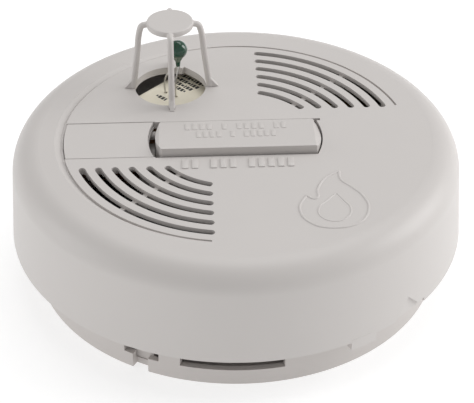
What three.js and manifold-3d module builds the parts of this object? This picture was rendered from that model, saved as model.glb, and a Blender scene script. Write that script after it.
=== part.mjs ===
// Ceiling heat alarm, mains powered with a backup battery. A moulded head carries the thermistor, its guard
// cage, the test button, the sounder and the electronics, and slides off a round mounting base.
// Millimetres, +Z away from the ceiling. The origin is the middle of the base's back face.
import * as THREE from "three";
import { mergeVertices } from "three/addons/utils/BufferGeometryUtils.js";
import Module from "manifold-3d";

const wasm = await Module();
wasm.setup();

// ---- Driving dimensions ----
const GAP = 0.3; // left between pieces that touch
const ROUND_SIDES = 80; // sides of the large turned shells

const BASE = { radius: 67.8, height: 15.2, wall: 2.2, floor: 2.4 };

const COVER = {
  rimRadius: 75.5, // at the open lower edge
  rimZ: 15.5,
  shoulderRadius: 74, // where the side wall meets the rounded shoulder
  fillet: 8.5,
  topZ: 48.5,
  wall: 2.6,
};

const SLOTS = { count: 6, firstRadius: 28.2, pitch: 4.97, width: 2.3, endX: 9.57, endY: 17 };
const GROOVE = { inner: 57.5, outer: 58.4, depth: 0.9, from: 17, to: 260.5 };
const SKIRT_LUG = { from: -63.7, to: -56.5, drop: 3 };
const SKIRT_NOTCH = { from: -41.2, to: -39.2, height: 1.4 };
const RELEASE_ARROW = { azimuth: -45.6, halfWidth: 6.4, height: 6.5, depth: 1.15 };

const OPENING = { endRadius: 28.7, rearY: 9.9, frontY: -11.1 }; // for the test button
const PIN_NOTCH = { x: [26, 28.6], y: [8.7, 9.9] }; // the right hinge pin is let in through it
const BUTTON = {
  endX: 0.8, // its rounded ends follow a circle about this x
  endRadius: 27.4,
  rearY: 9.5,
  frontY: -10.25,
  rise: 2.8, // of the front edge over the cover's top
  thickness: 2.2,
  skirt: 1.6,
  hingeY: 8.5,
  hingeZ: 44,
  pinRadius: 1.4,
};
const CRADLE = { inner: 28.9, outer: 31.9, rear: 11.5, front: -12.5 };
const TRAY = { bottom: 35, top: 36.6 };
const PLUNGER = {
  y: -2,
  radius: 1.7,
  bottom: 30.3,
  flange: [44.8, 46],
  flangeRadius: 4,
  plugRadius: 1.5, // pressed into a socket under the button
  top: 47.5,
  sway: 1.1, // how far its foot swings back as the button is pressed
};
const SPRING = { radius: 3.3, wire: 0.25, turns: 5 };

const STRIP = { outerRadius: 57.2, innerRadius: 29, rearY: 9.9, frontY: -10.4, thickness: 1.6 };

const SENSOR = {
  x: -21.2,
  y: 32.1,
  holeRadius: 12.2,
  bead: [-18.4, 35.5, 61],
  beadRadius: 3.3,
  neckZ: 54.4,
  feet: [
    [-22.9, 36.8],
    [-19.4, 34.1],
  ],
  leadRadius: 0.3,
};
const CAGE = {
  x: -20.8,
  y: 32,
  discRadius: 7.6,
  discThickness: 1.4,
  topZ: 74.5,
  legRadius: 1.05,
  shoulder: 10.6,
  foot: 14,
  pegAt: 14.3,
  pegRadius: 0.9,
};

const BOARD = { bottom: 22, thickness: 1.6, v: [-25.5, 19.5], u: [-44, 50] };
const PARTS_Z = BOARD.bottom + BOARD.thickness + GAP; // where components stand on the main board
const SENSOR_BOARD = { top: 43, thickness: 1.6, v: [-6, 24], u: [24, 47.5] };
const HOUSING = { bottom: 16, floor: 2, radius: 70.6, rimTop: 22, rim: 2 };
const BOSS = { radius: 3.5, at: 62, hole: 1.6, azimuths: [9.5, 80.5, 189.5, 260.5] };
const BOARD_POSTS = [
  [-17, -40],
  [15, -40],
  [-21, 46],
];
const SLIDE = 12; // travel of the head until the base's hooks line up with their wide openings
const HOOKS = [
  [34, 30],
  [-34, 30],
  [24, -48],
  [-24, -48],
];
const HOOK = { length: 6, stem: 3, lip: 2.6, lipBottom: 18.4, top: 20.4 };
const FIXING_SLOT = { at: 48, halfLength: 5, radius: 2.2 };
const CONTACTS = { at: [-9, 0, 9], z: 9, radius: 1.2, upU: 9, tipU: 22 };
const TERMINALS = { v: [-17, 17], u: [14, 30], z: [2.7, 14.4], screwU: 26 };
const CABLE_ENTRY = { u: -28, radius: 13 };
const SOUNDER = { v: 45.2, radius: 20, wall: 1.8, diaphragm: 26, top: 41.5, bottom: 18.3 };
const BATTERY = { v: -41, length: 48.5, width: 26.5, height: 17.5, bottom: 16.4 };

// ---- Shapes ----
const radians = THREE.MathUtils.degToRad;

// The electronics, the base's hooks and the slide are laid out on axes turned 45° from the button's:
// v runs towards 45° and u towards 135°. A shape drawn with x = v and y = u is turned into place by this.
const DIAGONAL = Math.PI / 4;
const diagonal = (geometry) => geometry.rotateZ(DIAGONAL);

function block([x0, x1], [y0, y1], [z0, z1]) {
  return new THREE.BoxGeometry(x1 - x0, y1 - y0, z1 - z0)
    .translate((x0 + x1) / 2, (y0 + y1) / 2, (z0 + z1) / 2);
}

function upright(x, y, radius, [z0, z1], sides = 24, topRadius = radius) {
  return new THREE.CylinderGeometry(topRadius, radius, z1 - z0, sides)
    .rotateX(Math.PI / 2)
    .translate(x, y, (z0 + z1) / 2);
}

// A round bar lying along y.
function bar(x, [y0, y1], z, radius, sides = 16) {
  return new THREE.CylinderGeometry(radius, radius, y1 - y0, sides).translate(x, (y0 + y1) / 2, z);
}

// arcSteps is the number of straight steps in each arc of the shape.
function prism(shape, [z0, z1], arcSteps = 8) {
  const settings = { depth: z1 - z0, bevelEnabled: false, curveSegments: arcSteps / 2 };
  return new THREE.ExtrudeGeometry(shape, settings).translate(0, 0, z0);
}

// A profile of [radius, z] points, listed anticlockwise with the radius drawn to the right and z upwards.
function turned(points, sides = ROUND_SIDES) {
  const profile = points.map(([r, z]) => new THREE.Vector2(r, z));
  return new THREE.LatheGeometry(profile, sides).rotateX(Math.PI / 2);
}

// A flat ring sector between two radii and two azimuths in degrees.
function sector(inner, outer, from, to) {
  const shape = new THREE.Shape();
  shape.absarc(0, 0, outer, radians(from), radians(to), false);
  shape.absarc(0, 0, inner, radians(to), radians(from), true);
  shape.closePath();
  return shape;
}

// A quarter of a circle about [r, z], as profile points from one angle in degrees to another.
function filletPoints(r, z, radius, from, to, steps) {
  return Array.from({ length: steps + 1 }, (_, i) => {
    const a = radians(from + ((to - from) * i) / steps);
    return [r + radius * Math.cos(a), z + radius * Math.sin(a)];
  });
}

function tube(points, radius, steps, sides = 8) {
  const section = new THREE.Shape();
  section.absarc(0, 0, radius, 0, 2 * Math.PI, false);
  const path = new THREE.CatmullRomCurve3(points.map((p) => new THREE.Vector3(...p)), false, "centripetal");
  return new THREE.ExtrudeGeometry(section, {
    extrudePath: path,
    steps,
    curveSegments: sides / 2,
    bevelEnabled: false,
  });
}

// ---- Joining and cutting ----
function toManifold(geometry) {
  const bare = new THREE.BufferGeometry();
  bare.setAttribute("position", geometry.getAttribute("position").clone());
  if (geometry.index) bare.setIndex(geometry.index.clone());
  const merged = mergeVertices(bare, 1e-4);
  const index = merged.index.array;
  const kept = [];
  for (let i = 0; i < index.length; i += 3) {
    const [a, b, c] = index.subarray(i, i + 3);
    if (a !== b && b !== c && c !== a) kept.push(a, b, c);
  }
  const vertProperties = merged.attributes.position.array;
  return new wasm.Manifold(new wasm.Mesh({ numProp: 3, vertProperties, triVerts: new Uint32Array(kept) }));
}

function toGeometry(manifold) {
  const { vertProperties, triVerts } = manifold.getMesh();
  const geometry = new THREE.BufferGeometry()
    .setAttribute("position", new THREE.BufferAttribute(new Float32Array(vertProperties), 3))
    .setIndex(new THREE.BufferAttribute(new Uint32Array(triVerts), 1));
  geometry.computeVertexNormals();
  return geometry;
}

const join = (...parts) => toGeometry(parts.map(toManifold).reduce((all, part) => all.add(part)));
const cut = (body, ...tools) =>
  toGeometry(tools.map(toManifold).reduce((left, tool) => left.subtract(tool), toManifold(body)));

// ---- Finishes ----
const finish = (color, roughness, metalness = 0) =>
  new THREE.MeshStandardMaterial({ color, roughness, metalness });
const WHITE_MOULDING = finish(0xdedad7, 0.45);
const BASE_MOULDING = finish(0xd6d0cd, 0.5);
const CREAM_BOARD = finish(0xe8dcc4, 0.6);
const BROWN_BOARD = finish(0x7a4f2c, 0.6);
const BLACK_PLASTIC = finish(0x1c1c1e, 0.5);
const GREY_PLASTIC = finish(0x6b6e70, 0.5);
const RUBBER = finish(0x2b2b2b, 0.9);
const GREEN_EPOXY = finish(0x0d5a3c, 0.15);
const TINNED_WIRE = finish(0xc9c9c4, 0.3, 1);
const STEEL = finish(0xa9abad, 0.35, 1);
const BRASS = finish(0xc09a4a, 0.35, 1);
const CERAMIC = finish(0xe9e6df, 0.4);
const RED_LENS = finish(0xb01818, 0.2);
const YELLOW_FILM = finish(0xd9b53a, 0.4);
const BLUE_SLEEVE = finish(0x22406e, 0.4);
const COPPER_WIRE = finish(0xb5652f, 0.35, 1);
const BATTERY_CASE = finish(0x3a3f45, 0.4, 0.4);

const alarm = new THREE.Group();
const base = new THREE.Group();
const head = new THREE.Group();
const button = new THREE.Group();
alarm.add(base, head);
head.add(button);

function place(group, name, geometry, material) {
  const mesh = new THREE.Mesh(geometry, material);
  mesh.name = name;
  group.add(mesh);
}

// ---- Mounting base ----
function hook([v, u]) {
  const out = Math.sign(v);
  const stem = [v - HOOK.stem / 2, v + HOOK.stem / 2];
  const lip = out > 0 ? [stem[0], stem[1] + HOOK.lip] : [stem[0] - HOOK.lip, stem[1]];
  const along = [u - HOOK.length / 2, u + HOOK.length / 2];
  return diagonal(join(
    block(stem, along, [BASE.floor - 0.5, HOOK.top]),
    block(lip, along, [HOOK.lipBottom, HOOK.top]),
  ));
}

function fixingSlot(v) {
  const shape = new THREE.Shape();
  const { halfLength, radius } = FIXING_SLOT;
  shape.absarc(v, halfLength, radius, 0, Math.PI, false);
  shape.absarc(v, -halfLength, radius, Math.PI, 2 * Math.PI, false);
  return diagonal(prism(shape, [-1, BASE.floor + 1], 6));
}

function mountingBase() {
  const { radius, height, wall, floor } = BASE;
  const shell = turned([
    [0, 0], [radius, 0], [radius, height], [radius - wall, height], [radius - wall, floor], [0, floor],
  ]);
  const outer = radius + 1;
  const wallSlots = [
    prism(sector(radius - wall - 1, outer, -107.4, -79.1), [5.7, 10.5]), // long front ventilation slot
    prism(sector(radius - wall - 1, outer, -124, -113.5), [5.4, 10.5], 4), // cross of the trunking knock-out
    prism(sector(radius - wall - 0.3, outer, -121.3, -116.7), [-1, 6], 4), // its stem, open at the ceiling
  ];
  const tongue = prism(sector(62.9, 65, -122, -116), [1, 13], 4); // stands behind the knock-out
  const cableHole = diagonal(upright(0, CABLE_ENTRY.u, CABLE_ENTRY.radius, [-1, floor + 1], 40));
  const fixingSlots = [FIXING_SLOT.at, -FIXING_SLOT.at].map(fixingSlot);
  const shellCut = cut(shell, ...wallSlots, cableHole, ...fixingSlots);
  return join(shellCut, tongue, ...HOOKS.map(hook));
}
place(base, "mounting_base", mountingBase(), BASE_MOULDING);

function cableEntrySeal() {
  const outer = CABLE_ENTRY.radius - GAP;
  const flange = [BASE.floor + GAP, BASE.floor + GAP + 1.4];
  const ring = turned([
    [5, 0.8], [outer, 0.8], [outer, flange[0]], [outer + 2.3, flange[0]], [outer + 2.3, flange[1]],
    [outer - 1.7, flange[1]], [outer - 1.7, 1.8], [5, 1.8], [5, 0.8],
  ], 40);
  return diagonal(ring.translate(0, CABLE_ENTRY.u, 0));
}
place(base, "cable_entry_seal", cableEntrySeal(), RUBBER);

function terminalBlock() {
  const { v, u, z, screwU } = TERMINALS;
  const bores = CONTACTS.at.flatMap((at) => [
    bar(at, [u[0] - 1, 24], CONTACTS.z, CONTACTS.radius + 0.5),
    upright(at, screwU, 2.7, [9.6, z[1] + 1], 20),
    bar(at, [24.5, u[1] + 1], 6.4, 1.8, 12),
  ]);
  return diagonal(cut(block(v, u, z), ...bores));
}
place(base, "terminal_block", terminalBlock(), WHITE_MOULDING);

function terminalScrew(at) {
  const top = 12.9;
  const u = TERMINALS.screwU;
  const driverSlot = block([at - 3, at + 3], [u - 0.4, u + 0.4], [top - 1.2, top + 1]);
  return diagonal(cut(upright(at, u, 2.3, [9.9, top], 16), driverSlot));
}
CONTACTS.at.forEach((at, i) => place(base, `terminal_screw_${i + 1}`, terminalScrew(at), STEEL));

// ---- Cover: one thin shell with the sound slots, the button opening and the sensor hole ----
function ventSlot(radius, quadrantTurn) {
  const half = SLOTS.width / 2;
  const from = Math.asin(SLOTS.endY / radius);
  const to = Math.acos(SLOTS.endX / radius);
  const end = (a) => [radius * Math.cos(a), radius * Math.sin(a)];
  const shape = new THREE.Shape();
  shape.absarc(0, 0, radius + half, from, to, false);
  shape.absarc(...end(to), half, to, to + Math.PI, false);
  shape.absarc(0, 0, radius - half, to, from, true);
  shape.absarc(...end(from), half, from + Math.PI, from + 2 * Math.PI, false);
  return prism(shape, [COVER.topZ - COVER.wall - 1, COVER.topZ + 1], 6).rotateZ(quadrantTurn);
}

function buttonOpening() {
  const { endRadius, rearY, frontY } = OPENING;
  const rear = Math.asin(rearY / endRadius);
  const front = Math.asin(frontY / endRadius);
  const shape = new THREE.Shape();
  shape.absarc(0, 0, endRadius, front, rear, false);
  shape.absarc(0, 0, endRadius, Math.PI - rear, Math.PI - front, false);
  return prism(shape, [COVER.topZ - COVER.wall - 3, COVER.topZ + 1], 8);
}

// A plate whose ends follow two circles about the cover's middle, on the -X side.
function stripShape(outerRadius, innerRadius, rearY, frontY) {
  const at = (radius, y) => Math.PI - Math.asin(y / radius);
  const shape = new THREE.Shape();
  shape.absarc(0, 0, outerRadius, at(outerRadius, rearY), at(outerRadius, frontY), false);
  shape.absarc(0, 0, innerRadius, at(innerRadius, frontY), at(innerRadius, rearY), true);
  shape.closePath();
  return shape;
}

function releaseArrow() {
  const { azimuth, halfWidth, height, depth } = RELEASE_ARROW;
  const shape = new THREE.Shape();
  shape.moveTo(-halfWidth, -1);
  shape.lineTo(halfWidth, -1);
  shape.lineTo(0, height);
  shape.closePath();
  return new THREE.ExtrudeGeometry(shape, { depth: 10, bevelEnabled: false })
    .rotateX(Math.PI / 2)
    .translate(0, -(COVER.rimRadius - depth), COVER.rimZ)
    .rotateZ(radians(azimuth + 90));
}

function coverShell() {
  const { rimRadius, rimZ, shoulderRadius, fillet, topZ, wall } = COVER;
  const r = shoulderRadius - fillet;
  const z = topZ - fillet;
  return turned([
    [0, topZ - wall],
    ...filletPoints(r, z, fillet - wall, 90, 0, 4),
    [rimRadius - wall, rimZ], [rimRadius, rimZ],
    ...filletPoints(r, z, fillet, 0, 90, 6),
    [0, topZ],
  ]);
}

function cover() {
  const { rimRadius, rimZ, topZ, wall } = COVER;
  const under = topZ - wall;
  const ribs = [DIAGONAL, DIAGONAL + Math.PI].map((turn) =>
    block([24, 58], [-0.8, 0.8], [42, under + GAP]).rotateZ(turn));
  const bossEnds = [HOUSING.bottom + HOUSING.floor + GAP, under + GAP];
  const bosses = BOSS.azimuths.map((a) =>
    upright(BOSS.at, 0, BOSS.radius, bossEnds, 20).rotateZ(radians(a)));
  const lug = prism(sector(rimRadius - wall, rimRadius, SKIRT_LUG.from, SKIRT_LUG.to),
    [rimZ - SKIRT_LUG.drop, rimZ + 1], 6);
  const cradles = [-1, 1].map((side) => {
    const x = [side * CRADLE.inner, side * CRADLE.outer].sort((a, b) => a - b);
    return block(x, [CRADLE.front, CRADLE.rear], [TRAY.bottom, under + GAP]);
  });
  const tray = block([-CRADLE.outer, CRADLE.outer], [CRADLE.front, CRADLE.rear], [TRAY.bottom, TRAY.top]);
  const stripPad = block([-59, -CRADLE.inner], [-12.2, 11.5], [44, under + GAP]);
  const shell = join(coverShell(), ...ribs, ...bosses, lug, ...cradles, tray, stripPad);

  const slots = [0, Math.PI].flatMap((turn) =>
    Array.from({ length: SLOTS.count }, (_, i) => ventSlot(SLOTS.firstRadius + i * SLOTS.pitch, turn)));
  const throughTop = [under - 1.4, topZ + 1];
  const groove = prism(sector(GROOVE.inner, GROOVE.outer, GROOVE.from, GROOVE.to),
    [topZ - GROOVE.depth, topZ + 1], 44);
  const notch = prism(sector(rimRadius - wall - 1, rimRadius + 1, SKIRT_NOTCH.from, SKIRT_NOTCH.to),
    [rimZ - 1, rimZ + SKIRT_NOTCH.height], 3);
  const sensorHole = upright(SENSOR.x, SENSOR.y, SENSOR.holeRadius, throughTop, 40);
  const holeCorner = block([0, 5.2], [-12.3, -6], throughTop)
    .rotateZ(3 * DIAGONAL)
    .translate(SENSOR.x, SENSOR.y, 0);
  const pegHoles = [0, 1, 2, 3].map((i) =>
    upright(CAGE.pegAt, 0, CAGE.pegRadius + GAP, throughTop, 10)
      .rotateZ(i * Math.PI / 2)
      .translate(CAGE.x, CAGE.y, 0));
  const stripRecess = prism(
    stripShape(STRIP.outerRadius + GAP, OPENING.endRadius - 0.2, STRIP.rearY + GAP, STRIP.frontY - GAP),
    [topZ - STRIP.thickness - GAP, topZ + 1], 6);
  const pinBore = new THREE.CylinderGeometry(BUTTON.pinRadius + GAP, BUTTON.pinRadius + GAP, 70, 20)
    .rotateZ(Math.PI / 2)
    .translate(0, BUTTON.hingeY, BUTTON.hingeZ);
  const pinNotch = block(PIN_NOTCH.x, PIN_NOTCH.y, throughTop);
  const boreRadius = PLUNGER.radius + GAP;
  const throughTray = [TRAY.bottom - 1, TRAY.top + 1];
  const plungerSlot = [
    upright(0, PLUNGER.y, boreRadius, throughTray, 20),
    upright(0, PLUNGER.y + PLUNGER.sway, boreRadius, throughTray, 20),
    block([-boreRadius, boreRadius], [PLUNGER.y, PLUNGER.y + PLUNGER.sway], throughTray),
  ];
  const screwHoles = BOSS.azimuths.map((a) =>
    upright(BOSS.at, 0, BOSS.hole, [HOUSING.bottom, 28], 12).rotateZ(radians(a)));
  return cut(shell, ...slots, groove, notch, releaseArrow(), sensorHole, holeCorner, ...pegHoles,
    stripRecess, buttonOpening(), pinNotch, pinBore, ...plungerSlot, ...screwHoles);
}
place(head, "cover", cover(), WHITE_MOULDING);

place(head, "blanking_strip", prism(
  stripShape(STRIP.outerRadius, STRIP.innerRadius, STRIP.rearY, STRIP.frontY),
  [COVER.topZ - STRIP.thickness, COVER.topZ], 6), WHITE_MOULDING);

// ---- Rear housing: the head's floor, which the base's hooks and the plug pass through ----
function hookPath([v, u]) {
  const stem = [v - HOOK.stem / 2 - GAP, v + HOOK.stem / 2 + GAP];
  const wide = v > 0 ? [stem[0], stem[1] + HOOK.lip] : [stem[0] - HOOK.lip, stem[1]];
  const half = HOOK.length / 2 + GAP;
  const through = [HOUSING.bottom - 1, HOUSING.bottom + HOUSING.floor + 1];
  return [
    diagonal(block(stem, [u - half, u + SLIDE], through)),
    diagonal(block(wide, [u + SLIDE - half, u + SLIDE + half], through)),
  ];
}

function rearHousing() {
  const { bottom, floor, radius, rimTop, rim } = HOUSING;
  const top = bottom + floor;
  const dish = turned([
    [0, bottom], [radius, bottom], [radius, rimTop], [radius - rim, rimTop], [radius - rim, top], [0, top],
  ]);
  const posts = BOARD_POSTS.map(([v, u]) => diagonal(upright(v, u, 3, [top - 0.5, BOARD.bottom - GAP], 16)));
  const postHoles = BOARD_POSTS.map(([v, u]) =>
    diagonal(upright(v, u, 1.3, [top - 1, BOARD.bottom + 1], 10)));
  const plugWindow = diagonal(block([-14.3, 14.3], [4.7, 13.7], [bottom - 1, top + 1]));
  const halfLength = BATTERY.length / 2 + 0.5;
  const halfWidth = BATTERY.width / 2 + 0.5;
  const batteryWindow = diagonal(block(
    [BATTERY.v - halfWidth, BATTERY.v + halfWidth], [-halfLength, halfLength], [bottom - 1, top + 1]));
  const screws = BOSS.azimuths.flatMap((a) => [
    upright(BOSS.at, 0, BOSS.hole, [bottom - 1, top + 1], 12).rotateZ(radians(a)),
    upright(BOSS.at, 0, 3.1, [bottom - 1, bottom + 1.2], 16).rotateZ(radians(a)),
  ]);
  const solid = join(dish, ...posts);
  return cut(solid, ...postHoles, plugWindow, batteryWindow, ...screws, ...HOOKS.flatMap(hookPath));
}
place(head, "rear_housing", rearHousing(), BASE_MOULDING);

// A pan-head screw with a cross recess, pointing along z from its head.
function screw(headZ, tipZ, headRadius, shankRadius) {
  const up = Math.sign(tipZ - headZ);
  const neck = headZ + 0.9 * up;
  const span = (a, b) => [Math.min(a, b), Math.max(a, b)];
  const solid = join(
    upright(0, 0, headRadius, span(headZ, neck), 16),
    upright(0, 0, shankRadius, span(neck - 0.1 * up, tipZ), 10),
  );
  const recess = span(headZ - up, headZ + 0.5 * up);
  const arm = headRadius * 0.6;
  return cut(solid, block([-arm, arm], [-0.35, 0.35], recess), block([-0.35, 0.35], [-arm, arm], recess));
}
BOSS.azimuths.forEach((a, i) => {
  const geometry = screw(HOUSING.bottom, 27, 2.8, 1.3).translate(BOSS.at, 0, 0).rotateZ(radians(a));
  place(head, `housing_screw_${i + 1}`, geometry, STEEL);
});

// ---- Guard cage over the thermistor ----
function sensorCage() {
  const { discRadius, discThickness, topZ, legRadius, shoulder, foot, pegAt, pegRadius } = CAGE;
  const legZ = topZ - 1.1;
  const surface = COVER.topZ + GAP;
  const disc = turned([
    [0, topZ - discThickness], [discRadius - 0.4, topZ - discThickness],
    [discRadius, topZ - discThickness + 0.4], [discRadius, topZ - 0.4], [discRadius - 0.5, topZ], [0, topZ],
  ], 40);
  const leg = join(
    tube([
      [discRadius - 1.2, 0, legZ], [shoulder - 1.7, 0, legZ], [shoulder - 0.5, 0, legZ - 0.5],
      [shoulder, 0, legZ - 1.8], [(shoulder + foot) / 2, 0, (legZ + surface) / 2], [foot, 0, surface + 0.2],
    ], legRadius, 12, 8),
    upright(pegAt, 0, 2.1, [surface, surface + 2.4], 10, 1),
    upright(pegAt, 0, pegRadius, [COVER.topZ - COVER.wall, surface + 0.5], 10),
  );
  const legs = [0, 1, 2, 3].map((i) => leg.clone().rotateZ(i * Math.PI / 2));
  return join(disc, ...legs).translate(CAGE.x, CAGE.y, 0);
}
place(head, "sensor_cage", sensorCage(), WHITE_MOULDING);

// ---- Thermistor and its small board ----
function thermistorBead() {
  const [x, y, z] = SENSOR.bead;
  const r = SENSOR.beadRadius;
  const drop = SENSOR.neckZ - z;
  return turned([
    [0, drop], [0.7, drop], [0.9, drop + 1.5], [1.9, -r + 0.6],
    ...filletPoints(0, 0, r, -52, 90, 10).slice(0, -1), [0, r],
  ], 28).translate(x, y, z);
}
place(head, "thermistor_bead", thermistorBead(), GREEN_EPOXY);

SENSOR.feet.forEach(([x, y], i) => {
  const [beadX, beadY] = SENSOR.bead;
  const start = SENSOR.neckZ - GAP;
  const side = i === 0 ? -0.45 : 0.45;
  const lead = tube([
    [beadX + side, beadY, start], [(beadX + side + x) / 2, (beadY + y) / 2, start - 2],
    [x, y, start - 5], [x, y, SENSOR_BOARD.top - SENSOR_BOARD.thickness - 0.8],
  ], SENSOR.leadRadius, 8, 6);
  place(head, `thermistor_lead_${i + 1}`, lead, TINNED_WIRE);
});

function sensorBoard() {
  const { top, thickness, v, u } = SENSOR_BOARD;
  const holes = SENSOR.feet.map(([x, y]) => upright(x, y, 0.6, [top - thickness - 1, top + 1], 10));
  return cut(diagonal(block(v, u, [top - thickness, top])), ...holes);
}
place(head, "sensor_board", sensorBoard(), CREAM_BOARD);
place(head, "board_header", diagonal(block(
  [0, 12], [26, 28.5], [PARTS_Z, SENSOR_BOARD.top - SENSOR_BOARD.thickness - GAP])), BLACK_PLASTIC);

// ---- Main circuit board and what stands on it ----
function circuitBoard() {
  const z = [BOARD.bottom, BOARD.bottom + BOARD.thickness];
  const through = [z[0] - 1, z[1] + 1];
  const pinHoles = CONTACTS.at.map((at) => upright(at, CONTACTS.upU, CONTACTS.radius + GAP, through, 12));
  const screwHoles = BOARD_POSTS.map(([v, u]) => upright(v, u, 1.3, through, 10));
  return diagonal(cut(block(BOARD.v, BOARD.u, z), ...pinHoles, ...screwHoles));
}
place(head, "circuit_board", circuitBoard(), BROWN_BOARD);
BOARD_POSTS.forEach(([v, u], i) => {
  const geometry = diagonal(screw(PARTS_Z + 0.9, 19, 2.4, 1).translate(v, u, 0));
  place(head, `board_screw_${i + 1}`, geometry, STEEL);
});

place(head, "tact_switch", join(
  block([-3, 3], [PLUNGER.y - 3, PLUNGER.y + 3], [PARTS_Z, PARTS_Z + 3.5]),
  upright(0, PLUNGER.y, 1.75, [PARTS_Z + 3, PARTS_Z + 5], 20),
), GREY_PLASTIC);

function indicatorLed() {
  const [x, y] = [9, PLUNGER.y];
  const profile = [
    [0, PARTS_Z + 2], [1.9, PARTS_Z + 2], [1.9, PARTS_Z + 3], [1.5, PARTS_Z + 3],
    ...filletPoints(0, PARTS_Z + 5.8, 1.5, 0, 90, 4).slice(0, -1), [0, PARTS_Z + 7.3],
  ];
  const legs = [-1.27, 1.27].map((dx) => block([x + dx - 0.25, x + dx + 0.25], [y - 0.25, y + 0.25],
    [PARTS_Z, PARTS_Z + 2.5]));
  return join(turned(profile, 20).translate(x, y, 0), ...legs);
}
place(head, "indicator_led", indicatorLed(), RED_LENS);

function alarmChip() {
  const body = block([-18, -11.6], [16, 26], [PARTS_Z + 0.6, PARTS_Z + 3.9]);
  const leads = [17.2, 19.7, 22.3, 24.8].map((u) =>
    block([-19.4, -10.2], [u - 0.4, u + 0.4], [PARTS_Z, PARTS_Z + 2]));
  return diagonal(join(body, ...leads));
}
place(head, "alarm_chip", alarmChip(), BLACK_PLASTIC);

place(head, "mains_capacitor", diagonal(block([-20, -12], [-35, -17], [PARTS_Z, 37])), YELLOW_FILM);
place(head, "reservoir_capacitor", diagonal(turned([
  [0, PARTS_Z], [4.6, PARTS_Z], [5, PARTS_Z + 1], [4.7, PARTS_Z + 1.6], [5, PARTS_Z + 2.2],
  [5, 39.5], [4.4, 40], [0, 40],
], 24).translate(-2, -30, 0)), BLUE_SLEEVE);
place(head, "sounder_inductor", diagonal(turned([
  [0, PARTS_Z], [4.5, PARTS_Z], [4.5, PARTS_Z + 1.4], [3.6, PARTS_Z + 1.4], [3.6, PARTS_Z + 7.4],
  [4.5, PARTS_Z + 7.4], [4.5, PARTS_Z + 8.8], [0, PARTS_Z + 8.8],
], 24).translate(10, -26, 0)), COPPER_WIRE);

function dropperResistor() {
  const body = new THREE.CylinderGeometry(2.4, 2.4, 11, 20).translate(-18, -5, PARTS_Z + 3.4);
  const wire = bar(-18, [-13, 3], PARTS_Z + 3.4, 0.4, 8);
  const legs = [-13, 3].map((u) => upright(-18, u, 0.4, [PARTS_Z, PARTS_Z + 3.8], 8));
  return diagonal(join(body, wire, ...legs));
}
place(head, "dropper_resistor", dropperResistor(), CERAMIC);

// ---- Plug that meets the base's terminal block ----
function headConnector() {
  const v = [-14, 14];
  const u = [5, 13.4];
  const body = join(
    block(v, u, [4.4, BOARD.bottom - GAP]),
    block([-16, 16], [3, 15.4], [HOUSING.bottom + HOUSING.floor + GAP, 20]),
  );
  const bores = CONTACTS.at.flatMap((at) => [
    bar(at, [CONTACTS.upU - 1.6, u[1] + 1], CONTACTS.z, CONTACTS.radius + GAP),
    upright(at, CONTACTS.upU, CONTACTS.radius + GAP, [CONTACTS.z, BOARD.bottom + 1], 16),
  ]);
  return diagonal(cut(body, ...bores));
}
place(head, "head_connector", headConnector(), WHITE_MOULDING);
CONTACTS.at.forEach((at, i) => {
  const pin = join(
    bar(at, [CONTACTS.upU - CONTACTS.radius, CONTACTS.tipU], CONTACTS.z, CONTACTS.radius),
    upright(at, CONTACTS.upU, CONTACTS.radius - 0.1, [CONTACTS.z, PARTS_Z + 1], 16),
  );
  place(head, `contact_pin_${i + 1}`, diagonal(pin), BRASS);
});

// ---- Sounder ----
function sounderChamber() {
  const { v, radius, wall, diaphragm, top, bottom } = SOUNDER;
  const inner = radius - wall;
  const seat = diaphragm + 4;
  const cup = turned([
    [0, diaphragm], [inner, diaphragm], [inner, bottom], [radius, bottom], [radius, top], [inner, top],
    [inner, seat], [inner - 1.4, seat], [inner - 1.4, diaphragm + 1.6], [0, diaphragm + 1.6],
  ], 48);
  return diagonal(cup.translate(v, 0, 0));
}
place(head, "sounder_chamber", sounderChamber(), BLACK_PLASTIC);
const discZ = SOUNDER.diaphragm + 4 + GAP;
place(head, "piezo_disc", diagonal(upright(SOUNDER.v, 0, 17.8, [discZ, discZ + 0.5], 40)), BRASS);
place(head, "piezo_ceramic", diagonal(upright(SOUNDER.v, 0, 12.5, [discZ + 0.8, discZ + 1.2], 40)), CERAMIC);

// ---- Backup battery and its snap connector ----
function battery() {
  const { v, length, width, height, bottom } = BATTERY;
  const corner = 2;
  const [x0, x1] = [v - width / 2, v + width / 2];
  const [z0, z1] = [bottom, bottom + height];
  const section = new THREE.Shape();
  section.absarc(x1 - corner, z1 - corner, corner, 0, Math.PI / 2, false);
  section.absarc(x0 + corner, z1 - corner, corner, Math.PI / 2, Math.PI, false);
  section.absarc(x0 + corner, z0 + corner, corner, Math.PI, 1.5 * Math.PI, false);
  section.absarc(x1 - corner, z0 + corner, corner, 1.5 * Math.PI, 2 * Math.PI, false);
  const body = new THREE.ExtrudeGeometry(section, { depth: length, bevelEnabled: false, curveSegments: 2 })
    .rotateX(Math.PI / 2)
    .translate(0, length / 2, 0);
  const studs = [[-6.35, 4], [6.35, 3]].map(([offset, radius]) =>
    bar(v + offset, [length / 2 - 0.5, length / 2 + 2.6], bottom + height / 2, radius, 20));
  return diagonal(join(body, ...studs));
}
place(head, "battery", battery(), BATTERY_CASE);
const snapU = BATTERY.length / 2 + 3;
place(head, "battery_snap", diagonal(block(
  [BATTERY.v - 12, BATTERY.v + 12], [snapU, snapU + 3], [21.6, 33])), BLACK_PLASTIC);

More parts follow.
